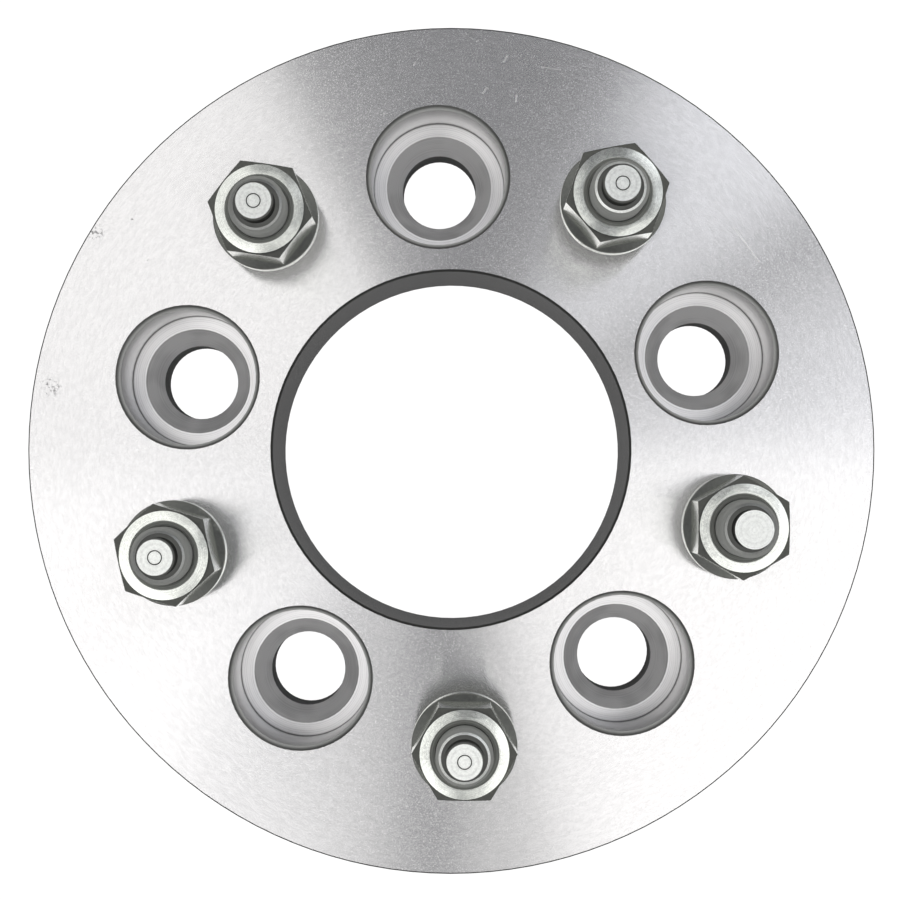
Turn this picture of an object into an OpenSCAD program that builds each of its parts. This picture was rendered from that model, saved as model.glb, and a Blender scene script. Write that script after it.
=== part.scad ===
// Bolt-on wheel spacer that also changes the bolt circle: an aluminium plate that bolts to
// the hub through recessed holes and carries its own pressed-in studs and nuts for the wheel.
// The origin is on the bore axis at the hub face, and +Z points towards the wheel.

/* [Plate] */
// Outside diameter of the plate
plate_d = 186.8; // [175:0.1:260]
// Distance from the hub face to the wheel face
plate_t = 32; // [30:0.5:60]
// Edge break around the outside of both faces
plate_edge = 0.3; // [0.2:0.1:2]
// Centre bore that clears the hub
bore_d = 78.7; // [50:0.1:86]
// Edge break at both ends of the bore
bore_edge = 0.5; // [0.2:0.1:1.2]

/* [Hub holes] */
// Bolt circle of the hub
hub_pcd = 120.65; // [118:0.05:135]
// Clearance hole for the hub's own stud
hub_hole_d = 17; // [13:0.1:18]
// Wide end of the conical seat for the hub's nut
seat_d = 24; // [20:0.1:28]
// Included angle of the conical seats, in the plate and on the nuts
seat_angle = 60; // [50:1:90]
// Pocket that takes the hub's nut and its socket
pocket_d = 30; // [28.5:0.1:32]
// Depth of the pocket below the wheel face
pocket_depth = 17.3; // [10:0.1:20]
// Edge break around the pocket's mouth
pocket_edge = 1; // [0.2:0.1:1.5]

/* [Wheel studs] */
// Bolt circle of the wheel
stud_pcd = 127; // [120:0.05:140]
// Thread diameter of the studs, over the crests
thread_d = 12; // [10:0.5:13]
// Reach of the studs past the wheel face
stud_reach = 37.5; // [35:0.5:60]
// Diameter of the guide nose at the tip
nose_d = 8; // [6:0.1:8.5]
// Length of the guide nose, from the thread's end to the tip
nose_l = 5.5; // [4:0.1:10]
// Edge break around the tip
nose_edge = 0.35; // [0.1:0.05:0.8]
// Ring that the lathe centre pressed into the tip
centre_mark_d = 2.8; // [1:0.1:4]
// Depth of that ring's groove
centre_mark_depth = 0.12; // [0.05:0.01:0.2]
// Part of the step from the nose to the thread's end that rises as a cone
nose_root_share = 0.62; // [0.2:0.02:0.9]
// Slope of the ring between that cone and the thread's end
end_slope = 15; // [0:1:30]
// Bevel where the thread starts
thread_bevel = 0.7; // [0.3:0.05:0.7]
// Crest diameter of the splined shoulder, and of the hole that it is pressed into
spline_d = 14.3; // [14.1:0.1:16]
// Depth of the splines
spline_depth = 0.45; // [0.2:0.05:0.6]
// Length of the splined shoulder under the head
spline_l = 12; // [6:0.5:15]
// Splines around the shoulder
spline_count = 36; // [24:1:48]
// Diameter of the stud's head
head_d = 20; // [18:0.1:21]
// Thickness of the stud's head
head_h = 4.5; // [3:0.1:8]
// Edge break around the head
head_edge = 0.6; // [0.2:0.1:1]
// Seat of the head, measured up from the hub face
head_seat_z = 14; // [9:0.5:14.5]
// Room around the head in its pocket
head_clearance = 1; // [0.3:0.1:1.5]
// Edge break at the mouths of the stud holes
stud_hole_edge = 0.4; // [0.2:0.1:1]

/* [Lug nuts] */
// Width of the hexagon across its flats
nut_af = 19.05; // [18:0.05:21]
// Flat rim left on top between a flat and the turned corner chamfer
top_inset = 0.275; // [0.1:0.025:0.6]
// Slope of the chamfer on the corners
corner_slope = 30; // [15:1:45]
// Nut top down to the upper edge of the flange
hex_h = 12.7; // [8:0.1:14]
// Lip of the flange past the hexagon's corners
flange_lip = 0.3; // [0.2:0.1:2]
// Height of the flange's rim
flange_h = 3.4; // [1:0.1:4.5]
// Edge break around the top of the flange's rim
flange_edge = 0.2; // [0.1:0.05:0.4]
// Slope of the flange's upper side, up to the flats
flange_slope = 25; // [10:1:40]
// Step from the flange's rim in to the conical seat
seat_step = 0.25; // [0.1:0.05:1]
// Flat ring at the narrow end of the seat
nut_nose_ring = 0.4; // [0.2:0.05:1]
// Countersink at the narrow end of the seat
nut_nose_sink = 0.6; // [0.2:0.05:1]
// Countersink at the top of the nut's bore
nut_top_sink = 1.1; // [0.4:0.05:1.5]
// Play between the stud's crests and the nut's bore
thread_play = 0.1; // [0.05:0.05:0.3]

/* [Nut places] */
// Gap between nut 1 and the wheel face
nut_1_gap = 3.0; // [0.2:0.1:5]
// Gap between nut 2 and the wheel face
nut_2_gap = 3.0; // [0.2:0.1:5]
// Gap between nut 3 and the wheel face
nut_3_gap = 3.9; // [0.2:0.1:5]
// Gap between nut 4 and the wheel face
nut_4_gap = 0.4; // [0.2:0.1:5]
// Gap between nut 5 and the wheel face
nut_5_gap = 2.8; // [0.2:0.1:5]
// Turn of nut 1, the angle of a corner from +X
nut_1_turn = 49; // [0:1:60]
// Turn of nut 2
nut_2_turn = 40; // [0:1:60]
// Turn of nut 3
nut_3_turn = 57; // [0:1:60]
// Turn of nut 4
nut_4_turn = 27; // [0:1:60]
// Turn of nut 5
nut_5_turn = 8; // [0:1:60]

/* [Hidden] */
$fn = 96;
// Overshoot of a cut past the face that it opens
EPS = 0.01;

// One gap and one turn for each stud, so these lists also set how many studs there are
nut_gaps = [nut_1_gap, nut_2_gap, nut_3_gap, nut_4_gap, nut_5_gap];
nut_turns = [nut_1_turn, nut_2_turn, nut_3_turn, nut_4_turn, nut_5_turn];
COPIES = [1:len(nut_gaps)];

// Hub holes start on +Y, and the studs lie midway between them
step_angle = 360 / len(nut_gaps);
hub_phase = 90;
stud_phase = hub_phase + step_angle / 2;

// Height that a conical seat gains for each unit of radius
seat_rise = 1 / tan(seat_angle / 2);

plate_r = plate_d / 2;
bore_r = bore_d / 2;
hub_hole_r = hub_hole_d / 2;
pocket_r = pocket_d / 2;
pocket_floor_z = plate_t - pocket_depth;
seat_r = seat_d / 2;
seat_low_z = pocket_floor_z - (seat_r - hub_hole_r) * seat_rise;

thread_r = thread_d / 2;
spline_r = spline_d / 2;
head_r = head_d / 2;
head_low_z = head_seat_z - head_h;
head_pocket_r = head_r + head_clearance;
nose_r = nose_d / 2;
stud_tip_z = plate_t + stud_reach;
nose_low_z = stud_tip_z - nose_l;
centre_mark_r = centre_mark_d / 2;
thread_end_r = thread_r - thread_bevel;
nose_root_r = nose_r + (thread_end_r - nose_r) * nose_root_share;
nose_root_z = nose_low_z + (thread_end_r - nose_root_r) * tan(end_slope);
nose_root_h = nose_root_r - nose_r;

nut_bore_r = thread_r + thread_play;
nut_nose_r = nut_bore_r + nut_nose_sink + nut_nose_ring;
hex_corner_r = nut_af / 2 / cos(30);
nut_top_r = nut_af / 2 - top_inset;
flange_r = hex_corner_r + flange_lip;
nut_seat_r = flange_r - seat_step;
nut_seat_h = (nut_seat_r - nut_nose_r) * seat_rise;
flange_top_z = nut_seat_h + flange_h;
nut_h = flange_top_z + hex_h;

// Puts children on a bolt circle, at copy k of the pattern
module on_circle(pcd, phase, k) {
    angle = phase + (k - 1) * step_angle;
    translate(pcd / 2 * [cos(angle), sin(angle), 0]) children();
}

// Disc turned from its half section, with the bore and all four edge breaks
module turned_blank() {
    rotate_extrude() polygon([
        [bore_r + bore_edge, 0],
        [plate_r - plate_edge, 0],
        [plate_r, plate_edge],
        [plate_r, plate_t - plate_edge],
        [plate_r - plate_edge, plate_t],
        [bore_r + bore_edge, plate_t],
        [bore_r, plate_t - bore_edge],
        [bore_r, bore_edge]
    ]);
}

// Hub hole from below: clearance hole, conical seat, nut pocket and the break at its mouth
module hub_hole_cut() {
    rotate_extrude() polygon([
        [0, -EPS],
        [hub_hole_r, -EPS],
        [hub_hole_r, seat_low_z],
        [seat_r, pocket_floor_z],
        [pocket_r, pocket_floor_z],
        [pocket_r, plate_t - pocket_edge],
        [pocket_r + pocket_edge + EPS, plate_t + EPS],
        [0, plate_t + EPS]
    ]);
}

// Stud hole from below: head pocket, head seat and the press-fit hole up to the wheel face
module stud_hole_cut() {
    rotate_extrude() polygon([
        [0, -EPS],
        [head_pocket_r + stud_hole_edge + EPS, -EPS],
        [head_pocket_r, stud_hole_edge],
        [head_pocket_r, head_seat_z],
        [spline_r, head_seat_z],
        [spline_r, plate_t - stud_hole_edge],
        [spline_r + stud_hole_edge + EPS, plate_t + EPS],
        [0, plate_t + EPS]
    ]);
}

module adapter_plate() {
    color("gainsboro") difference() {
        turned_blank();
        for (k = COPIES) {
            on_circle(hub_pcd, hub_phase, k) hub_hole_cut();
            on_circle(stud_pcd, stud_phase, k) stud_hole_cut();
        }
    }
}

// Stud turned from its half section: head, thread at its crest size, the sloping ring at the
// thread's end, the cone up to the guide nose, and the nose with its centre mark
module stud_body() {
    rotate_extrude() polygon([
        [0, head_low_z],
        [head_r - head_edge, head_low_z],
        [head_r, head_low_z + head_edge],
        [head_r, head_seat_z],
        [thread_r, head_seat_z],
        [thread_r, nose_low_z - thread_bevel],
        [thread_end_r, nose_low_z],
        [nose_root_r, nose_root_z],
        [nose_r, nose_root_z + nose_root_h],
        [nose_r, stud_tip_z - nose_edge],
        [nose_r - nose_edge, stud_tip_z],
        [centre_mark_r + centre_mark_depth, stud_tip_z],
        [centre_mark_r, stud_tip_z - centre_mark_depth],
        [centre_mark_r - centre_mark_depth, stud_tip_z],
        [0, stud_tip_z]
    ]);
}

// Splined shoulder, whose crests just reach the wall of the hole
module stud_splines() {
    pitch = 360 / spline_count;
    outline = [
        for (i = [0:spline_count - 1], root = [0, 1])
            let (angle = (i + root / 2) * pitch)
                (spline_r - root * spline_depth) * [cos(angle), sin(angle)]
    ];
    translate([0, 0, head_seat_z - EPS]) linear_extrude(spline_l + EPS) polygon(outline);
}

module wheel_stud(k) {
    color("silver") on_circle(stud_pcd, stud_phase, k) {
        stud_body();
        stud_splines();
    }
}

// Hexagon with its corners turned off at the top
module nut_hexagon() {
    corner_fall = (hex_corner_r - nut_top_r) * tan(corner_slope);
    intersection() {
        translate([0, 0, nut_seat_h]) cylinder(h = flange_h + hex_h, r = hex_corner_r, $fn = 6);
        rotate_extrude() polygon([
            [0, 0],
            [hex_corner_r, 0],
            [hex_corner_r, nut_h - corner_fall],
            [nut_top_r, nut_h],
            [0, nut_h]
        ]);
    }
}

// Conical seat, flange rim and the flange's sloping upper side, which runs in under the flats
module nut_flange() {
    inner_r = nut_af / 2 - flange_lip;
    inner_z = flange_top_z + (flange_r - flange_edge - inner_r) * tan(flange_slope);
    rotate_extrude() polygon([
        [0, 0],
        [nut_nose_r, 0],
        [nut_seat_r, nut_seat_h],
        [flange_r, nut_seat_h],
        [flange_r, flange_top_z - flange_edge],
        [flange_r - flange_edge, flange_top_z],
        [inner_r, inner_z],
        [0, inner_z]
    ]);
}

// Bore over the thread's crests, countersunk at both ends
module nut_bore_cut() {
    rotate_extrude() polygon([
        [0, -EPS],
        [nut_bore_r + nut_nose_sink + EPS, -EPS],
        [nut_bore_r, nut_nose_sink],
        [nut_bore_r, nut_h - nut_top_sink],
        [nut_bore_r + nut_top_sink + EPS, nut_h + EPS],
        [0, nut_h + EPS]
    ]);
}

module lug_nut(k) {
    color("darkgray") on_circle(stud_pcd, stud_phase, k)
        translate([0, 0, plate_t + nut_gaps[k - 1]])
        rotate([0, 0, nut_turns[k - 1]])
        difference() {
            union() {
                nut_hexagon();
                nut_flange();
            }
            nut_bore_cut();
        }
}

adapter_plate();
for (k = COPIES) {
    wheel_stud(k);
    lug_nut(k);
}
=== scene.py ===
"""Looks of the wheel spacer: turned aluminium plate, threaded studs and plated nuts on a pale floor."""

import math

import bmesh
import bpy
from bpy.props import (
    FloatProperty, FloatVectorProperty, IntProperty, IntVectorProperty, PointerProperty)
from mathutils import Euler, Matrix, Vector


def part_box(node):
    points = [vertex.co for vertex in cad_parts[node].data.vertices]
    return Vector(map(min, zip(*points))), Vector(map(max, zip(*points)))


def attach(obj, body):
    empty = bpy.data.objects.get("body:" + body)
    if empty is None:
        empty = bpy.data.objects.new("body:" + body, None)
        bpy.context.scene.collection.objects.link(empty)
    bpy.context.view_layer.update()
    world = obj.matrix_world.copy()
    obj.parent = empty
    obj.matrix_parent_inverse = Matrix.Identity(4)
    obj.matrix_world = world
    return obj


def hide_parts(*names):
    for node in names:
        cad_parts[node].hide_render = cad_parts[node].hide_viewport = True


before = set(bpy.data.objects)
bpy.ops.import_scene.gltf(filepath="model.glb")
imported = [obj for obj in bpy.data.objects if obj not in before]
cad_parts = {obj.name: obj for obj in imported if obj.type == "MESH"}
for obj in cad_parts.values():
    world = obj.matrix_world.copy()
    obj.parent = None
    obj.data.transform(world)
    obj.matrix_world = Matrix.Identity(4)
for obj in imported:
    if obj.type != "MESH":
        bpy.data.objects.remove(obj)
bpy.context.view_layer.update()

bl_info = {
    "name": "Wheel Spacer",
    "version": (1, 0, 0),
    "blender": (4, 5, 0),
    "location": "3D View > Sidebar > Wheel Spacer",
    "description": "Dresses the packed wheel spacer and sets it on a pale studio floor",
    "category": "Object",
}

MM = 0.001
COPIES = range(1, 6)
SECTOR = math.tau / len(COPIES)
FIRST_HOLE = math.pi / 2
PLATE_LOW, PLATE_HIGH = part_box("adapter_plate")
PLATE_R = PLATE_HIGH.x
WHEEL_FACE = PLATE_HIGH.z
STUD_LOW, STUD_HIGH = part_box("wheel_stud_1")
STUD_CIRCLE = (STUD_LOW + STUD_HIGH).xy.length
THREAD_DEPTH = 0.613  # of the pitch, from crest to root
ACROSS_GROOVES = 0.25  # of a turn, from along the turned grooves to the way their highlights spread
MERGE = 1e-6
SAME_PLANE = math.radians(0.3)
SHARP = math.radians(12)
CREASE = math.radians(20)


class PlateSettings(bpy.types.PropertyGroup):
    """Sizes and colours of the plate's finish."""

    colour: FloatVectorProperty(
        name="Aluminium", description="Colour of the bare aluminium", subtype="COLOR",
        default=(0.92, 0.915, 0.915), min=0, max=1)
    # The chamfers' dark tone, set in edge_aluminium, is painted shade.
    edge_colour: FloatVectorProperty(
        name="Edge breaks", description="Colour of the narrow chamfers left dull by the tool",
        subtype="COLOR", default=(0.90, 0.91, 0.90), min=0, max=1)
    hub_circle: FloatProperty(
        name="Hub bolt circle", description="Circle that the hub holes stand on, across",
        default=120.65 * MM, unit="LENGTH")
    pocket: FloatProperty(
        name="Pocket", description="Width of the nut pockets", default=30 * MM, unit="LENGTH")
    pocket_floor: FloatProperty(
        name="Pocket floor", description="Height of the pockets' floors over the hub face",
        default=14.7 * MM, unit="LENGTH")
    seat_end: FloatProperty(
        name="Seat end", description="Height where a conical seat ends in the straight hole",
        default=8.64 * MM, unit="LENGTH")
    bore: FloatProperty(
        name="Centre bore", description="Width of the centre bore", default=78.7 * MM, unit="LENGTH")
    grain: FloatProperty(
        name="Grain", description="Size of one speck of the matt grain on the faces",
        default=0.36 * MM, unit="LENGTH")
    grain_depth: FloatProperty(
        name="Grain depth", description="Height of the matt grain", default=0.003 * MM, unit="LENGTH",
        precision=6)
    scratch_depth: FloatProperty(
        name="Scratch height", description="Height of the burr along a scratch", default=0.005 * MM,
        unit="LENGTH", precision=6)
    groove: FloatProperty(
        name="Groove", description="Spacing of the fine rings left by the turning tool",
        default=0.35 * MM, unit="LENGTH")


class StudSettings(bpy.types.PropertyGroup):
    """Sizes and colour of the wheel studs."""

    colour: FloatVectorProperty(
        name="Steel", description="Colour of the bright turned steel", subtype="COLOR",
        default=(0.905, 0.925, 0.895), min=0, max=1)
    thread: FloatProperty(
        name="Thread", description="Width of the thread over its crests",
        default=12 * MM, unit="LENGTH")
    pitch: FloatProperty(
        name="Pitch", description="Distance from one thread crest to the next",
        default=1.5 * MM, unit="LENGTH")
    bevel: FloatProperty(
        name="Thread bevel", description="Lead-in at the free end of the thread",
        default=0.7 * MM, unit="LENGTH")
    root_share: FloatProperty(
        name="Nose root", description="Part of the step from nose to thread that rises as a cone",
        subtype="FACTOR", default=0.62, min=0, max=1)
    end_slope: FloatProperty(
        name="End slope", description="Slope of the ring between that cone and the thread's end",
        subtype="ANGLE", default=math.radians(15))
    nose: FloatProperty(
        name="Guide nose", description="Width of the plain nose", default=8 * MM, unit="LENGTH")
    nose_length: FloatProperty(
        name="Nose length", description="From the thread's end to the tip",
        default=5.5 * MM, unit="LENGTH")
    nose_edge: FloatProperty(
        name="Nose edge", description="Chamfer around the nose's end", default=0.35 * MM, unit="LENGTH")
    centre_mark: FloatProperty(
        name="Centre mark", description="Width of the ring that the lathe centre pressed into the tip",
        default=2.8 * MM, unit="LENGTH")
    mark_depth: FloatProperty(
        name="Mark depth", description="Depth of that ring's groove", default=0.12 * MM, unit="LENGTH")
    spline: FloatProperty(
        name="Spline", description="Width over the splines pressed into the plate",
        default=14.3 * MM, unit="LENGTH")
    spline_depth: FloatProperty(
        name="Spline depth", description="Depth of the grooves between splines",
        default=0.45 * MM, unit="LENGTH")
    spline_length: FloatProperty(
        name="Spline length", description="Length of the splined shoulder",
        default=12 * MM, unit="LENGTH")
    spline_count: IntProperty(
        name="Splines", description="Splines around the shoulder", default=36, min=12)
    head: FloatProperty(
        name="Head", description="Width of the head behind the plate", default=20 * MM, unit="LENGTH")
    head_height: FloatProperty(
        name="Head height", description="Thickness of the head", default=4.5 * MM, unit="LENGTH")
    plain_tip: IntProperty(
        name="Plain tip", description="Number of the stud whose tip was left plain", default=4, min=0)
    # A thread's end is a copy of the tip's steel, darkened as painted shade on most studs and kept
    # bright as a painted highlight on the listed ones.
    shaded_end: FloatProperty(
        name="Dull ends", description="Brightness of a shaded thread's end beside that of a clean tip",
        subtype="FACTOR", default=0.4, min=0, max=1)
    lit_ends: IntVectorProperty(
        name="Bright ends", description="Numbers of the studs whose thread's end stayed clean",
        size=2, default=(3, 5), min=0)
    head_edge: FloatProperty(
        name="Head edge", description="Chamfer around the head", default=0.6 * MM, unit="LENGTH")


class NutSettings(bpy.types.PropertyGroup):
    """Sizes and colour of the nuts' finish."""

    colour: FloatVectorProperty(
        name="Zinc plate", description="Colour of the zinc plating", subtype="COLOR",
        default=(0.85, 0.875, 0.825), min=0, max=1)
    edge: FloatProperty(
        name="Edge", description="Width of the softened edges", default=0.12 * MM, unit="LENGTH")
    groove: FloatProperty(
        name="Groove", description="Spacing of the turning marks on the top ring",
        default=0.3 * MM, unit="LENGTH")
    # The corners, the flange's slope and the seat under the flange are copies of the plating darkened
    # as painted shade.
    corner_shade: FloatProperty(
        name="Corners", description="Brightness of the hexagon's dull corners beside clean plating",
        subtype="FACTOR", default=0.15, min=0, max=1)
    slope_shade: FloatProperty(
        name="Flange slope", description="Brightness of the flange's dull top beside clean plating",
        subtype="FACTOR", default=0.27, min=0, max=1)
    seat_shade: FloatProperty(
        name="Seat", description="Brightness of the dull seat under the flange beside clean plating",
        subtype="FACTOR", default=0.26, min=0, max=1)
    flat_area: FloatProperty(
        name="Flat area",
        description="Least area of an upright face that counts as one of the six flats",
        default=50 * MM * MM, unit="AREA", precision=6)


class StageSettings(bpy.types.PropertyGroup):
    """Camera, floor and light."""

    lens: FloatProperty(
        name="Lens", description="Focal length on a 36 mm sensor", default=77.0, unit="CAMERA")
    viewpoint: FloatVectorProperty(
        name="Viewpoint", description="Camera's place over the plate, before the roll",
        subtype="TRANSLATION", default=(2.29 * MM, -7.14 * MM, 457.1 * MM))
    tilt: FloatVectorProperty(
        name="Tilt", description="Camera's small turns from straight down", subtype="EULER",
        default=(math.radians(0.943), math.radians(0.319), 0))
    roll: FloatProperty(
        name="Roll", description="Camera's turn about the plate's axis", subtype="ANGLE",
        default=math.radians(-2.673))
    floor: FloatVectorProperty(
        name="Floor", description="Colour of the pale floor and background", subtype="COLOR",
        default=(1.0, 1.0, 1.0), min=0, max=1)
    overhead: FloatProperty(
        name="Overhead light", description="Brightness of the soft light straight above", default=0.16)
    windows: FloatProperty(
        name="Soft lights", description="Brightness of the soft lights around the zenith", default=2.4)
    room: FloatProperty(
        name="Room", description="Brightness of the dim room around the object", default=0.07)
    horizon: FloatProperty(
        name="Horizon", description="Brightness of the low band of light all around", default=0.62)


SETTINGS = {
    "spacer_plate": PlateSettings,
    "spacer_studs": StudSettings,
    "spacer_nuts": NutSettings,
    "spacer_stage": StageSettings,
}


class Value:
    """A node's output socket, on which arithmetic adds Math nodes."""

    def __init__(self, sheet, socket):
        self.sheet = sheet
        self.socket = socket

    def math(self, operation, *others):
        inputs = dict(enumerate((self, *others)))
        return self.sheet.node("ShaderNodeMath", {"operation": operation}, inputs)

    def reflected(self, operation, other):
        return self.sheet.node("ShaderNodeMath", {"operation": operation}, {0: other, 1: self})

    def __add__(self, other):
        return self.math("ADD", other)

    def __radd__(self, other):
        return self.reflected("ADD", other)

    def __sub__(self, other):
        return self.math("SUBTRACT", other)

    def __rsub__(self, other):
        return self.reflected("SUBTRACT", other)

    def __mul__(self, other):
        return self.math("MULTIPLY", other)

    def __rmul__(self, other):
        return self.reflected("MULTIPLY", other)

    def __truediv__(self, other):
        return self.math("DIVIDE", other)

    def __rtruediv__(self, other):
        return self.reflected("DIVIDE", other)

    def __pow__(self, other):
        return self.math("POWER", other)

    def step(self, low, high):
        """0 below low, 1 above high, with a smooth rise between; a falling step has high below low."""
        falls = high < low
        span = {"From Min": min(low, high), "From Max": max(low, high)}
        ends = {"To Min": 1.0, "To Max": 0.0} if falls else {"To Min": 0.0, "To Max": 1.0}
        settings = {"interpolation_type": "SMOOTHSTEP"}
        return self.sheet.node("ShaderNodeMapRange", settings, {"Value": self, **span, **ends})


class NodeSheet:
    """A node tree that is filled node by node."""

    def __init__(self, owner):
        owner.use_nodes = True
        self.tree = owner.node_tree
        self.tree.nodes.clear()

    def node(self, kind, settings=None, inputs=None, output=0):
        """Adds a node, sets its settings, then its sockets' values or links, and returns one output."""
        made = self.tree.nodes.new(kind)
        for name, setting in (settings or {}).items():
            setattr(made, name, setting)
        for name, value in (inputs or {}).items():
            if isinstance(value, Value):
                self.tree.links.new(value.socket, made.inputs[name])
            else:
                made.inputs[name].default_value = value
        return Value(self, made.outputs[output]) if made.outputs else None

    def point(self):
        """The point on the object."""
        return self.node("ShaderNodeTexCoord", output="Object")

    def place(self):
        """The point on the object, and its x, y and z."""
        point = self.point()
        return point, *self.split(point)

    def split(self, vector):
        return [self.node("ShaderNodeSeparateXYZ", inputs={0: vector}, output=axis) for axis in "XYZ"]

    def join(self, x, y, z):
        return self.node("ShaderNodeCombineXYZ", inputs={"X": x, "Y": y, "Z": z})

    def noise(self, vector, size, detail=2.0, roughness=0.5):
        """Soft noise from 0 to 1 with features of about that size."""
        inputs = {"Vector": vector, "Scale": 1 / size, "Detail": detail, "Roughness": roughness}
        return self.node("ShaderNodeTexNoise", {"noise_dimensions": "3D"}, inputs)

    def rings(self, distance, spacing):
        """Uneven fine rings along a distance."""
        inputs = {"W": distance / spacing, "Scale": 1.0, "Detail": 2.0, "Roughness": 0.6}
        return self.node("ShaderNodeTexNoise", {"noise_dimensions": "1D"}, inputs)

    def blend(self, factor, first, second):
        """A mix of two colours, each a socket or a plain colour."""
        ends = [c if isinstance(c, Value) else (*c, 1.0) for c in (first, second)]
        inputs = {0: factor, 6: ends[0], 7: ends[1]}
        return self.node("ShaderNodeMix", {"data_type": "RGBA"}, inputs, output=2)

    def shade(self, tone, colour):
        """A colour between black, at tone 0, and itself, at tone 1."""
        return self.blend(tone, (0, 0, 0), tuple(colour))

    def bump(self, height, depth):
        """A normal from a height that is counted in that depth."""
        inputs = {"Height": height, "Strength": 1.0, "Distance": depth}
        return self.node("ShaderNodeBump", inputs=inputs)

    def surface(self, shader):
        self.node("ShaderNodeOutputMaterial", inputs={"Surface": shader})

    def metal(self, colour, roughness, normal, **others):
        """A metal surface, with whatever else sets it apart given by the sockets' names."""
        inputs = {"Base Color": colour, "Roughness": roughness, "Metallic": 1.0, "Normal": normal}
        inputs.update({name.replace("_", " ").title(): value for name, value in others.items()})
        self.surface(self.node("ShaderNodeBsdfPrincipled", inputs=inputs))


def new_material(name):
    """An empty material and the sheet that fills it."""
    material = bpy.data.materials.new(name)
    return material, NodeSheet(material)


def around_axis(x, y):
    """Length of a flat offset, which is the distance to the plate's axis if it starts there."""
    return (x * x + y * y) ** 0.5


def around_circle(x, y, circle, phase):
    """Distance to the nearest of the axes that stand on a bolt circle from that phase on."""
    radius = around_axis(x, y)
    turned = (y.math("ARCTAN2", x) - phase).math("WRAP", SECTOR / 2, -SECTOR / 2)
    across = radius * turned.math("SINE")
    along = radius * turned.math("COSINE") - circle / 2
    return around_axis(across, along)


def around_holes(x, y, hub_circle):
    """Distance to the axis of the nearest hub hole or stud."""
    hub = around_circle(x, y, hub_circle, FIRST_HOLE)
    return hub.math("MINIMUM", around_studs(x, y))


def around_studs(x, y):
    """Distance to the axis of the nearest stud."""
    return around_circle(x, y, STUD_CIRCLE, FIRST_HOLE + SECTOR / 2)


def beside_line(x, y, start, end):
    """Distance to a straight scratch from one point to another."""
    length = math.dist(start, end)
    unit_x, unit_y = (end[0] - start[0]) / length, (end[1] - start[1]) / length
    from_x, from_y = x - start[0], y - start[1]
    along = (from_x * unit_x + from_y * unit_y).math("MAXIMUM", 0.0).math("MINIMUM", length)
    return around_axis(from_x - along * unit_x, from_y - along * unit_y)


def strongest(parts):
    """The largest of several values at each point."""
    total = parts[0]
    for part in parts[1:]:
        total = total.math("MAXIMUM", part)
    return total


def face_scratches(x, y):
    """Bright handling scratches on the wheel face, each from one point to another in millimetres."""
    scratches = {
        "long": (65, 45.7, 70, 38.2),
        "nick over a pocket": (10.8, 78.4, 11.7, 79.6),
        "nick near the rim": (15.8, 85.2, 16.6, 86.4),
        "dot at the rim": (10, 90, 10.3, 90.2),
        "pair beside a pocket": (18, 76.2, 18.2, 77.6),
        "faint streak": (24, 83.6, 28, 82.8),
        "dot on the left": (-4.2, 85.4, -3.8, 86),
    }
    edge, core = 0.2 * MM, 0.06 * MM
    lines = [[value * MM for value in ends] for ends in scratches.values()]
    return strongest([beside_line(x, y, ends[:2], ends[2:]).step(edge, core) for ends in lines])


def face_stains(x, y, fine):
    """Dark specks left where the rim was gripped, as (x, y, reach) in millimetres."""
    stains = {
        "upper grip": (-76.2, 51.6, 2.4),
        "lower grip": (-87.6, 17.9, 2.8),
        "speck": (-68.1, 54.3, 0.5),
        "second speck": (-64.8, 44.7, 0.6),
        "bore side": (56, 5, 2.2),
    }
    spots = [around_axis(x - px * MM, y - py * MM).step(reach * MM, 0.3 * reach * MM)
             for px, py, reach in stains.values()]
    return strongest(spots) * fine.step(0.48, 0.66)


def faced_aluminium(settings):
    """Turned and matted faces: rings stretch the highlights, and specks and flecks break them up."""
    material, sheet = new_material("faced_aluminium")
    point, x, y, z = sheet.place()
    specks = sheet.noise(point, settings.grain, detail=2.0, roughness=0.7)
    pits = specks.step(0.56, 0.70)
    clouds = sheet.noise(point, 28 * MM, detail=3.0)
    radius = around_axis(x, y)
    drawn_out = y.math("ARCTAN2", x) * (0.35 * PLATE_R)
    turned = sheet.join(radius, drawn_out, z)
    flecks = sheet.noise(turned, 1.8 * settings.grain, detail=2.0, roughness=0.6)
    rings = sheet.rings(radius + z, settings.groove)
    seen = z.step(WHEEL_FACE - 1 * MM, WHEEL_FACE - 0.5 * MM)
    scratches = face_scratches(x, y) * seen
    stains = face_stains(x, y, sheet.noise(point, 0.8 * MM)) * seen
    # Painted shade: the bore wall is darkened.
    bore = radius.step(settings.bore / 2 + 0.3 * MM, settings.bore / 2 + 0.1 * MM)
    fine = 0.5 * specks.step(0.35, 0.65) + 0.5 * flecks.step(0.3, 0.7)
    tone = (0.84 + 0.05 * clouds + 0.14 * fine) * (1 - 0.35 * bore)
    colour = sheet.shade(tone * (1 - 0.45 * stains), settings.colour)
    grain = settings.grain_depth * (0.75 * pits + 0.4 * flecks + 0.04 * rings)
    normal = sheet.bump(grain + settings.scratch_depth * scratches, 1.0)
    roughness = 0.19 + 0.02 * clouds + 0.05 * pits + 0.1 * scratches + 0.2 * stains
    sheet.metal(colour, roughness, normal, anisotropic=0.99, anisotropic_rotation=ACROSS_GROOVES)
    return material


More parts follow.
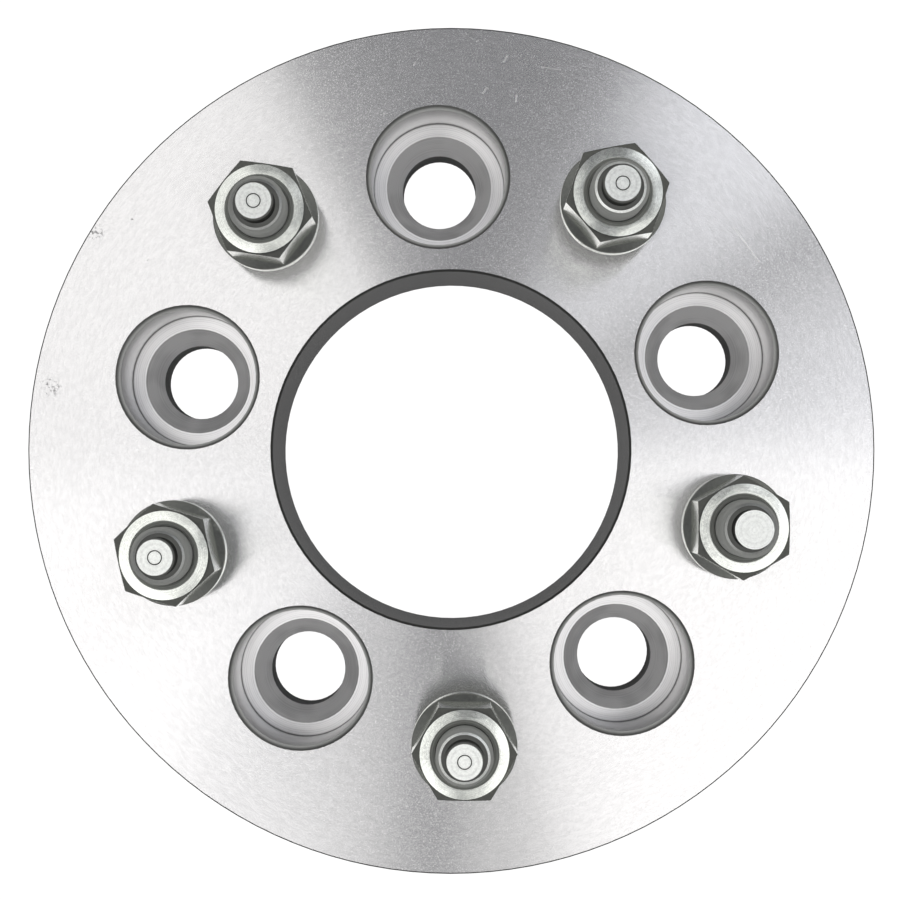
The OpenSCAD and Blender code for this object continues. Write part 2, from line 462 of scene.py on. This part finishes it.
def pocket_floor(settings):
    """Pocket floors cut by an end mill that left rings around each hole, with a painted shade in a dark
    line at the wall.
    """
    material, sheet = new_material("pocket_floor")
    point, x, y, _ = sheet.place()
    distance = around_holes(x, y, settings.hub_circle)
    rings = sheet.rings(distance, 0.35 * MM)
    specks = sheet.noise(point, 0.4 * MM)
    # Painted shade: a dark line along the foot of the pocket wall.
    corner = distance.step(settings.pocket / 2 - 0.35 * MM, settings.pocket / 2 - 0.1 * MM)
    tone = (0.80 + 0.26 * rings.step(0.35, 0.65) + 0.10 * specks) * (1 - 0.7 * corner)
    colour = sheet.shade(tone, settings.colour)
    normal = sheet.bump(0.8 * rings + 0.2 * specks, 0.006 * MM)
    sheet.metal(colour, 0.28 + 0.06 * specks, normal)
    return material


def pocket_wall(settings):
    """Pocket walls, matt and darker than the floors by a painted shade, which is darkest in the corner
    at the floor.
    """
    material, sheet = new_material("pocket_wall")
    _, _, _, z = sheet.place()
    rings = sheet.rings(z, 1.2 * MM)
    # Painted shade: darker towards the floor.
    corner = z.step(settings.pocket_floor + 2.2 * MM, settings.pocket_floor + 0.6 * MM)
    tone = (0.50 + 0.16 * rings) * (1 - 0.75 * corner)
    colour = sheet.shade(tone, settings.colour)
    sheet.metal(colour, 0.32, sheet.bump(rings, 0.02 * MM))
    return material


def seat_aluminium(settings):
    """Conical seats with an uneven painted highlight in soft blotches, ringed by the drill, and
    straight holes under them darkened by a painted shade.
    """
    material, sheet = new_material("seat_aluminium")
    point, x, y, z = sheet.place()
    distance = around_holes(x, y, settings.hub_circle)
    rings = sheet.rings(distance + 0.7 * z, 0.5 * MM)
    specks = sheet.noise(point, 0.5 * MM)
    # Painted highlight: soft blotches of brighter tone around each seat.
    painted_sheen = sheet.noise(point, 8 * MM, detail=1.0).step(0.35, 0.68)
    # Painted shade: the straight holes below the seats are darkened.
    deep_shade = z.step(settings.seat_end + 0.2 * MM, settings.seat_end - 0.2 * MM)
    tone = (0.76 + 0.12 * rings.step(0.3, 0.7) + 0.22 * painted_sheen) * (1 - 0.78 * deep_shade)
    colour = sheet.shade(tone, settings.colour)
    normal = sheet.bump(0.8 * rings + 0.2 * specks, 0.06 * MM)
    sheet.metal(colour, 0.5 + 0.08 * specks, normal, metallic=0.05)
    return material


def edge_aluminium(settings):
    """Narrow chamfers darkened by a painted shade, darkest along their top, at the rim and at the bore.
    """
    material, sheet = new_material("edge_aluminium")
    point, x, y, z = sheet.place()
    specks = sheet.noise(point, 0.6 * MM, detail=3.0)
    radius = around_axis(x, y)
    rim = radius.step(PLATE_R - 2 * MM, PLATE_R - 1 * MM)
    bore = radius.step(settings.bore / 2 + 2 * MM, settings.bore / 2 + 1 * MM)
    # Painted shade: the chamfers are dark, darkest along their top and at the rim and the bore, and
    # lighter only lower down.
    low = z.step(WHEEL_FACE - 0.25 * MM, WHEEL_FACE - 0.85 * MM) * (1 - rim - bore)
    tone = (0.16 + 0.08 * specks + 0.4 * low) * (1 - 0.6 * (rim + bore))
    colour = sheet.shade(tone, settings.edge_colour)
    sheet.metal(colour, 0.42 + 0.1 * specks, sheet.bump(specks, 0.01 * MM), metallic=1 - 0.6 * low)
    return material


def steel_tip(settings, name="steel_tip", lit=1.0):
    """Bright faced tips of the studs, a little pitted, and copies of them darkened by a factor as
    painted shade for the ends of their threads.
    """
    material, sheet = new_material(name)
    point, x, y, _ = sheet.place()
    rings = sheet.rings(around_studs(x, y), 0.5 * MM)
    specks = sheet.noise(point, 0.45 * MM, roughness=0.7)
    tone = 0.74 + 0.16 * rings.step(0.3, 0.7) + 0.14 * specks.step(0.35, 0.65)
    # The factor darkens a copy of the steel as painted shade.
    colour = sheet.shade(tone * lit, settings.colour)
    normal = sheet.bump(0.7 * rings + 0.3 * specks, 0.012 * MM)
    sheet.metal(colour, 0.32 + 0.1 * specks, normal)
    return material


def steel_side(settings):
    """Sides of the studs: oily noses darkened near black by a painted shade, over greyer threads and
    splines.
    """
    material, sheet = new_material("steel_side")
    point, _, _, z = sheet.place()
    rings = sheet.rings(z, 0.3 * MM)
    specks = sheet.noise(point, 0.5 * MM)
    nose_low = STUD_HIGH.z - settings.nose_length
    thread = z.step(nose_low + 0.1 * MM, nose_low - 0.1 * MM)
    # Painted shade: the noses are near black, the threads lighter.
    colour = sheet.shade(0.12 + 0.08 * rings + 0.2 * thread, settings.colour)
    normal = sheet.bump(rings, 0.01 * MM)
    oil = (0.4, 0.4, 0.4, 1.0)
    sheet.metal(colour, 0.28 + 0.08 * specks, normal, metallic=1 - 0.5 * thread, specular_tint=oil)
    return material


def zinc_turned(settings):
    """Zinc plating over the turned top ring of a nut and the rim of its flange."""
    material, sheet = new_material("zinc_turned")
    point, x, y, z = sheet.place()
    rings = sheet.rings(around_studs(x, y) + 0.3 * z, settings.groove)
    mottle = sheet.noise(point, 0.6 * MM, detail=3.0, roughness=0.65)
    tone = 0.78 + 0.12 * rings.step(0.3, 0.7) + 0.14 * mottle.step(0.35, 0.65)
    colour = sheet.shade(tone, settings.colour)
    normal = sheet.bump(0.6 * rings + 0.4 * mottle, 0.003 * MM)
    roughness = 0.16 + 0.06 * mottle
    sheet.metal(colour, roughness, normal, anisotropic=0.9, anisotropic_rotation=ACROSS_GROOVES)
    return material


def zinc_flat(settings):
    """Zinc plating over the drawn flats of a nut, smooth enough to mirror the flange."""
    material, sheet = new_material("zinc_flat")
    mottle = sheet.noise(sheet.point(), 0.8 * MM, detail=3.0)
    colour = sheet.shade(0.75 + 0.17 * mottle, settings.colour)
    sheet.metal(colour, 0.13 + 0.08 * mottle, sheet.bump(mottle, 0.006 * MM))
    return material


def zinc_bore(settings):
    """Zinc plating in a nut's bore and countersink, ringed and matt, darker partly by its own tone and
    partly by a painted shade in the recess.
    """
    material, sheet = new_material("zinc_bore")
    _, x, y, z = sheet.place()
    rings = sheet.rings(around_studs(x, y) + 0.6 * z, 0.6 * MM)
    # Partly painted shade: the darker tone in the bore and countersink.
    colour = sheet.shade(0.42 + 0.26 * rings.step(0.3, 0.7), settings.colour)
    sheet.metal(colour, 0.5, sheet.bump(rings, 0.03 * MM), metallic=0.2)
    return material


def zinc_painted_shade(settings, name, lit):
    """Dull plating on the slopes of a nut, darkened by a factor as a painted shade."""
    material, sheet = new_material(name)
    mottle = sheet.noise(sheet.point(), 0.6 * MM, detail=3.0)
    # Painted shade: the factor darkens this copy of the plating.
    colour = sheet.shade(lit * (0.7 + 0.6 * mottle), settings.colour)
    sheet.metal(colour, 0.16 + 0.1 * mottle, sheet.bump(mottle, 0.006 * MM))
    return material


def nut_zone(face, low, high, settings):
    """The finish that a face of a nut has, by its place, its slope and the way it looks."""
    inward, sloped, level, overhung, upright = -0.1, 0.5, 0.95, -0.2, 0.01
    corner_height = 4 * MM
    centre = face.calc_center_median()
    outward = (centre - (low + high) / 2).xy
    if face.normal.xy.dot(outward) < inward * outward.length:
        return "bore"
    if sloped < face.normal.z < level:
        return "corner" if centre.z > high.z - corner_height else "slope"
    if face.normal.z < overhung:
        return "seat"
    flat = abs(face.normal.z) < upright and face.calc_area() > settings.flat_area
    return "flat" if flat else "turned"


def lay_finishes(bm, finishes, zone, *where):
    """Gives each face the finish of its zone, numbered in the order of the finishes."""
    names = list(finishes)
    for face in bm.faces:
        face.material_index = names.index(zone(face, *where))


def finish_piece(bm, name, node, materials):
    """Turns a bmesh into a piece that stands for a CAD node."""
    bmesh.ops.recalc_face_normals(bm, faces=bm.faces)
    for face in bm.faces:
        face.smooth = True
    for edge in bm.edges:
        edge.smooth = edge.is_manifold and edge.calc_face_angle() < SHARP
    mesh = bpy.data.meshes.new(name)
    bm.to_mesh(mesh)
    bm.free()
    for material in materials:
        mesh.materials.append(material)
    piece = bpy.data.objects.new(name, mesh)
    bpy.context.scene.collection.objects.link(piece)
    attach(piece, "root")
    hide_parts(node)


def copy_of(node):
    """A CAD node's mesh with its loose triangles merged."""
    bm = bmesh.new()
    bm.from_mesh(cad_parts[node].data)
    bmesh.ops.remove_doubles(bm, verts=bm.verts, dist=MERGE)
    return bm


def sharp_edges(edges, angle):
    """Those of the edges that turn by more than an angle."""
    return [e for e in edges if e.is_manifold and e.calc_face_angle() > angle]


def soften(bm, edges, width):
    """Rounds edges a little, so that they catch the light."""
    bmesh.ops.bevel(bm, geom=edges, offset=width, offset_type="OFFSET", segments=2,
                    profile=0.5, affect="EDGES", material=-1, clamp_overlap=True)


def spin_profile(bm, outline, steps):
    """Spins an outline of (radius, height) points about Z into a closed shell."""
    before = set(bm.verts)
    points = [bm.verts.new((r, 0, z)) for r, z in outline]
    edges = [bm.edges.new(pair) for pair in zip(points, points[1:])]
    bmesh.ops.spin(bm, geom=points + edges, cent=(0, 0, 0), axis=(0, 0, 1), angle=math.tau,
                   steps=steps, use_merge=True)
    made = [v for v in bm.verts if v not in before]
    bmesh.ops.remove_doubles(bm, verts=made, dist=MERGE)


def cut_flat(bm, height, keep_below):
    """Cuts a shell square at a height and closes the cut."""
    geometry = bm.verts[:] + bm.edges[:] + bm.faces[:]
    cut = bmesh.ops.bisect_plane(bm, geom=geometry, plane_co=(0, 0, height), plane_no=(0, 0, 1),
                                 clear_outer=keep_below, clear_inner=not keep_below)
    edges = [e for e in cut["geom_cut"] if isinstance(e, bmesh.types.BMEdge)]
    bmesh.ops.edgeloop_fill(bm, edges=edges)


def plate_zone(face, settings):
    """The finish that a face of the plate has, by its place and slope."""
    sloped, level = 0.3, 0.95
    chamfer, margin, touching = 1.2 * MM, 1 * MM, 0.1 * MM
    centre = face.calc_center_median()
    slope = abs(face.normal.z)
    near_face = min(WHEEL_FACE - centre.z, centre.z - PLATE_LOW.z)
    radius = centre.xy.length
    if sloped < slope < level:
        return "edge" if near_face < chamfer else "seat"
    if near_face < touching or radius > PLATE_R - margin or radius < settings.bore / 2 + margin:
        return "turned"
    if centre.z < settings.pocket_floor - touching:
        return "seat"
    return "pocket floor" if slope > level else "pocket wall"


class SPACER_OT_plate(bpy.types.Operator):
    """Makes the turned plate from its CAD node, with a finish for each kind of cut"""

    bl_idname = "spacer.plate"
    bl_label = "Turned plate"

    def execute(self, context):
        settings = context.scene.spacer_plate
        finishes = {
            "turned": faced_aluminium(settings),
            "pocket floor": pocket_floor(settings),
            "pocket wall": pocket_wall(settings),
            "seat": seat_aluminium(settings),
            "edge": edge_aluminium(settings),
        }
        bm = copy_of("adapter_plate")
        lay_finishes(bm, finishes, plate_zone, settings)
        finish_piece(bm, "turned_plate", "adapter_plate", finishes.values())
        return {"FINISHED"}


def thread_rod(settings, low, high):
    """A threaded rod from one height to another, with the lead-in bevel at its top."""
    bm = bmesh.new()
    crest_r = settings.thread / 2
    pitch = settings.pitch
    root_r = crest_r - THREAD_DEPTH * pitch
    crest_flat, root_flat = pitch / 8, pitch / 6
    flank = (pitch - crest_flat - root_flat) / 2
    steps_in_turn = 36
    turns = math.ceil((high - low) / pitch) + 2
    start = low - 1.5 * pitch
    outline = [
        (root_r, 0),
        (root_r, root_flat / 2),
        (crest_r, root_flat / 2 + flank),
        (crest_r, root_flat / 2 + flank + crest_flat),
        (root_r, pitch - root_flat / 2),
        (root_r, pitch),
    ]
    points = [bm.verts.new((r, 0, start + z)) for r, z in outline]
    edges = [bm.edges.new(pair) for pair in zip(points, points[1:])]
    bmesh.ops.spin(bm, geom=points + edges, cent=(0, 0, 0), axis=(0, 0, 1), angle=math.tau * turns,
                   dvec=(0, 0, pitch / steps_in_turn), steps=turns * steps_in_turn)
    bmesh.ops.remove_doubles(bm, verts=bm.verts, dist=MERGE)
    for vert in bm.verts:
        limit = crest_r - settings.bevel + high - vert.co.z
        radius = vert.co.xy.length
        if radius > limit > 0:
            vert.co.xy *= limit / radius
    cut_flat(bm, low, keep_below=False)
    cut_flat(bm, high, keep_below=True)
    return bm


def spline_shoulder(bm, settings, low, high):
    """The splined shoulder that is pressed into the plate."""
    ring = bmesh.ops.create_circle(bm, cap_ends=True, segments=2 * settings.spline_count,
                                   radius=settings.spline / 2)["verts"]
    groove = 1 - 2 * settings.spline_depth / settings.spline
    for vert in ring[::2]:
        vert.co.xy *= groove
    bmesh.ops.translate(bm, verts=ring, vec=(0, 0, low))
    face = ring[0].link_faces[0]
    grown = bmesh.ops.extrude_face_region(bm, geom=[face], use_keep_orig=True)["geom"]
    top = [v for v in grown if isinstance(v, bmesh.types.BMVert)]
    bmesh.ops.translate(bm, verts=top, vec=(0, 0, high - low))


def stud_shape(settings, marked):
    """One stud on the Z axis at its rest height, its tip marked with a broken edge or left plain."""
    head_low, tip = STUD_LOW.z, STUD_HIGH.z
    shoulder = head_low + settings.head_height
    thread_low = shoulder + settings.spline_length
    nose_low = tip - settings.nose_length
    overlap = 0.3 * MM
    head_r, nose_r, mark_r = settings.head / 2, settings.nose / 2, settings.centre_mark / 2
    thread_end_r = settings.thread / 2 - settings.bevel
    root_r = nose_r + (thread_end_r - nose_r) * settings.root_share
    root_z = nose_low + (thread_end_r - root_r) * math.tan(settings.end_slope)
    groove, edge, mark = settings.mark_depth, 0.05 * MM, []
    if marked:
        edge = settings.nose_edge
        mark = [(mark_r + groove, tip), (mark_r, tip - groove), (mark_r - groove, tip)]
    bm = thread_rod(settings, thread_low - overlap, nose_low)
    spline_shoulder(bm, settings, shoulder - overlap, thread_low)
    spin_profile(bm, [
        (0, head_low),
        (head_r - settings.head_edge, head_low),
        (head_r, head_low + settings.head_edge),
        (head_r, shoulder - settings.head_edge / 2),
        (head_r - settings.head_edge / 2, shoulder),
        (0, shoulder),
    ], steps=72)
    spin_profile(bm, [
        (0, nose_low - overlap),
        (thread_end_r, nose_low - overlap),
        (thread_end_r, nose_low),
        (root_r, root_z),
        (nose_r, root_z + root_r - nose_r),
        (nose_r, tip - edge),
        (nose_r - edge, tip),
        *mark,
        (0, tip),
    ], steps=64)
    return bm


def stud_zone(face, tip):
    """The finish that a face of a stud has: on its side, on its tip or across an end lower down."""
    level, tip_height = 0.9, 1 * MM
    if abs(face.normal.z) <= level:
        return "side"
    return "tip" if face.calc_center_median().z > tip - tip_height else "end"


class SPACER_OT_studs(bpy.types.Operator):
    """Makes the five wheel studs with their cut threads"""

    bl_idname = "spacer.studs"
    bl_label = "Threaded studs"

    def execute(self, context):
        settings = context.scene.spacer_studs
        side, bright = steel_side(settings), steel_tip(settings)
        # Painted shade: the darker copy of the tip's steel for the thread ends.
        dull = steel_tip(settings, "steel_end_shaded", settings.shaded_end)
        marked, plain = stud_shape(settings, marked=True), stud_shape(settings, marked=False)
        for copy in COPIES:
            node = f"wheel_stud_{copy}"
            low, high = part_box(node)
            bm = (plain if copy == settings.plain_tip else marked).copy()
            centre = (low + high) / 2
            turn = Matrix.Rotation(copy * SECTOR, 3, "Z")
            bmesh.ops.rotate(bm, verts=bm.verts, cent=(0, 0, 0), matrix=turn)
            bmesh.ops.translate(bm, verts=bm.verts, vec=(centre.x, centre.y, 0))
            # Painted highlight on the listed studs' thread ends, painted shade on the rest.
            end = bright if copy in settings.lit_ends else dull
            finishes = {"side": side, "tip": bright, "end": end}
            lay_finishes(bm, finishes, stud_zone, high.z)
            finish_piece(bm, f"threaded_stud_{copy}", node, finishes.values())
        marked.free()
        plain.free()
        return {"FINISHED"}


class SPACER_OT_nuts(bpy.types.Operator):
    """Makes the five flanged nuts from their CAD nodes, with softened edges"""

    bl_idname = "spacer.nuts"
    bl_label = "Plated nuts"

    def execute(self, context):
        settings = context.scene.spacer_nuts
        finishes = {
            "turned": zinc_turned(settings),
            "flat": zinc_flat(settings),
            "bore": zinc_bore(settings),
            # Painted shade: darker copies of the plating on the corners, the flange's slope and the
            # seat.
            "corner": zinc_painted_shade(settings, "zinc_corner_shaded", settings.corner_shade),
            "slope": zinc_painted_shade(settings, "zinc_slope_shaded", settings.slope_shade),
            "seat": zinc_painted_shade(settings, "zinc_seat_shaded", settings.seat_shade),
        }
        for copy in COPIES:
            node = f"lug_nut_{copy}"
            bm = copy_of(node)
            bmesh.ops.dissolve_limit(bm, angle_limit=SAME_PLANE, use_dissolve_boundaries=False,
                                     verts=bm.verts, edges=bm.edges)
            low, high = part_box(node)
            lay_finishes(bm, finishes, nut_zone, low, high, settings)
            soften(bm, sharp_edges(bm.edges, CREASE), settings.edge)
            finish_piece(bm, f"plated_nut_{copy}", node, finishes.values())
        return {"FINISHED"}


def lay_floor(settings):
    """A plain pale floor that shows evenly white and lies dim in the object's own reflections, its
    paper darker under the plate as a painted shadow.
    """
    half_width, gap = 3, 0.2 * MM
    shaded_edge = 20 * MM
    glow_strength, glow_always, glow_seen = 1.09, 0.08, 0.88
    bm = bmesh.new()
    bmesh.ops.create_grid(bm, x_segments=1, y_segments=1, size=half_width)
    bmesh.ops.translate(bm, verts=bm.verts, vec=(0, 0, PLATE_LOW.z - gap))
    mesh = bpy.data.meshes.new("studio_floor")
    bm.to_mesh(mesh)
    bm.free()
    floor = bpy.data.objects.new("studio_floor", mesh)
    bpy.context.scene.collection.objects.link(floor)
    material, sheet = new_material("pale_floor")
    seen = sheet.node("ShaderNodeLightPath", output="Is Camera Ray")
    _, x, y, _ = sheet.place()
    # Painted shadow: the paper is darker under the plate.
    outside = around_axis(x, y).step(PLATE_R - shaded_edge, PLATE_R)
    paper = sheet.node("ShaderNodeBsdfDiffuse", inputs={
        "Color": sheet.blend(outside, (0.12, 0.12, 0.12), (0.5, 0.5, 0.5))})
    glow = sheet.node("ShaderNodeEmission", inputs={
        "Color": (*settings.floor, 1.0), "Strength": glow_strength})
    share = glow_always + glow_seen * seen
    sheet.surface(sheet.node("ShaderNodeMixShader", inputs={0: share, 1: paper, 2: glow}))
    mesh.materials.append(material)


def from_zenith(z, start, end):
    """0 at one angle from straight up and 1 at another, in degrees."""
    return z.step(math.cos(math.radians(start)), math.cos(math.radians(end)))


def light_room(settings):
    """Soft lights around the zenith, a faint cap behind them, a dim room and a pale low band.

    Each light has its azimuth, half width and softness in degrees, its strength, and the angle from the
    zenith where it starts.
    """
    lights = {
        "left": (146, 35, 3, 0.52, 1.5),
        "mid left": (196, 21, 14, 0.72, 4),
        "lower left": (229, 26, 15, 0.95, 13),
        "front": (273, 5, 5, 0.4, 4),
        "lower right": (322, 43, 9, 0.72, 4),
        "right": (3, 19, 14, 0.85, 16),
        "upper right": (48, 7, 14, 0.9, 15),
    }
    fade_in, never_zero = 3, 1e-8
    lights_end, cap, low_band = (34, 26), (34, 20), (36, 54)
    world = bpy.data.worlds.new("soft_studio")
    bpy.context.scene.world = world
    sheet = NodeSheet(world)
    x, y, z = sheet.split(sheet.node("ShaderNodeTexCoord", output="Generated"))
    flat = (x * x + y * y + never_zero) ** 0.5
    parts = []
    for azimuth, half_width, soft, strength, start in lights.values():
        angle = math.radians(azimuth)
        facing = (x * math.cos(angle) + y * math.sin(angle)) / flat
        outer = math.cos(math.radians(half_width + soft))
        inner = math.cos(math.radians(max(half_width - soft, 0)))
        rise = from_zenith(z, max(start - fade_in, 0), start + fade_in)
        parts.append(facing.step(outer, inner) * rise * strength)
    shining = strongest(parts) * from_zenith(z, *lights_end)
    low = from_zenith(z, *low_band)
    brightness = settings.room + settings.overhead * from_zenith(z, *cap) + settings.horizon * low
    brightness = brightness.math("MAXIMUM", shining * settings.windows)
    seen = sheet.node("ShaderNodeLightPath", output="Is Camera Ray")
    upper_right = x.step(0.0, 0.1) * y.step(-0.05, 0.05)
    warm = shining.step(0.0, 0.4) * (1 - 0.9 * upper_right)
    cool = sheet.blend(low, (0.93, 0.945, 1.0), (1.0, 0.995, 0.97))
    tint = sheet.blend(warm, cool, (1.0, 0.99, 0.985))
    light = sheet.node("ShaderNodeBackground", inputs={"Color": tint, "Strength": brightness})
    pale = sheet.node("ShaderNodeBackground", inputs={"Color": (*settings.floor, 1.0), "Strength": 1.0})
    both = sheet.node("ShaderNodeMixShader", inputs={0: seen, 1: light, 2: pale})
    sheet.node("ShaderNodeOutputWorld", inputs={"Surface": both})


def set_camera(settings):
    """The photograph's view, nearly straight down on the wheel face."""
    camera = bpy.data.cameras.new("photo_view")
    camera.lens = settings.lens
    camera.clip_start = 0.01
    camera.dof.use_dof = False
    holder = bpy.data.objects.new("photo_view", camera)
    bpy.context.scene.collection.objects.link(holder)
    roll = Matrix.Rotation(settings.roll, 4, "Z")
    tilt = Euler(settings.tilt, "YXZ").to_matrix().to_4x4()
    holder.matrix_world = roll @ Matrix.Translation(settings.viewpoint) @ tilt
    bpy.context.scene.camera = holder


class SPACER_OT_stage(bpy.types.Operator):
    """Sets the floor, the soft light and the camera"""

    bl_idname = "spacer.stage"
    bl_label = "Studio stage"

    def execute(self, context):
        settings = context.scene.spacer_stage
        lay_floor(settings)
        light_room(settings)
        set_camera(settings)
        context.scene.view_settings.view_transform = "Standard"
        return {"FINISHED"}


class SPACER_PT_panel(bpy.types.Panel):
    """Lists the pieces of the wheel spacer and their settings"""

    bl_idname = "SPACER_PT_panel"
    bl_label = "Wheel Spacer"
    bl_space_type = "VIEW_3D"
    bl_region_type = "UI"
    bl_category = "Wheel Spacer"

    def draw(self, context):
        for name, operator in zip(SETTINGS, OPERATORS):
            box = self.layout.box()
            box.operator(operator.bl_idname)
            group = getattr(context.scene, name)
            for setting in group.__annotations__:
                box.prop(group, setting)


OPERATORS = (SPACER_OT_plate, SPACER_OT_studs, SPACER_OT_nuts, SPACER_OT_stage)
CLASSES = (*SETTINGS.values(), *OPERATORS, SPACER_PT_panel)


def register():
    for cls in CLASSES:
        bpy.utils.register_class(cls)
    for name, group in SETTINGS.items():
        setattr(bpy.types.Scene, name, PointerProperty(type=group))


def unregister():
    for name in SETTINGS:
        delattr(bpy.types.Scene, name)
    for cls in reversed(CLASSES):
        bpy.utils.unregister_class(cls)


def main():
    register()
    bpy.ops.spacer.plate()
    bpy.ops.spacer.studs()
    bpy.ops.spacer.nuts()
    bpy.ops.spacer.stage()
    bpy.context.view_layer.update()


if __name__ == "__main__":
    main()
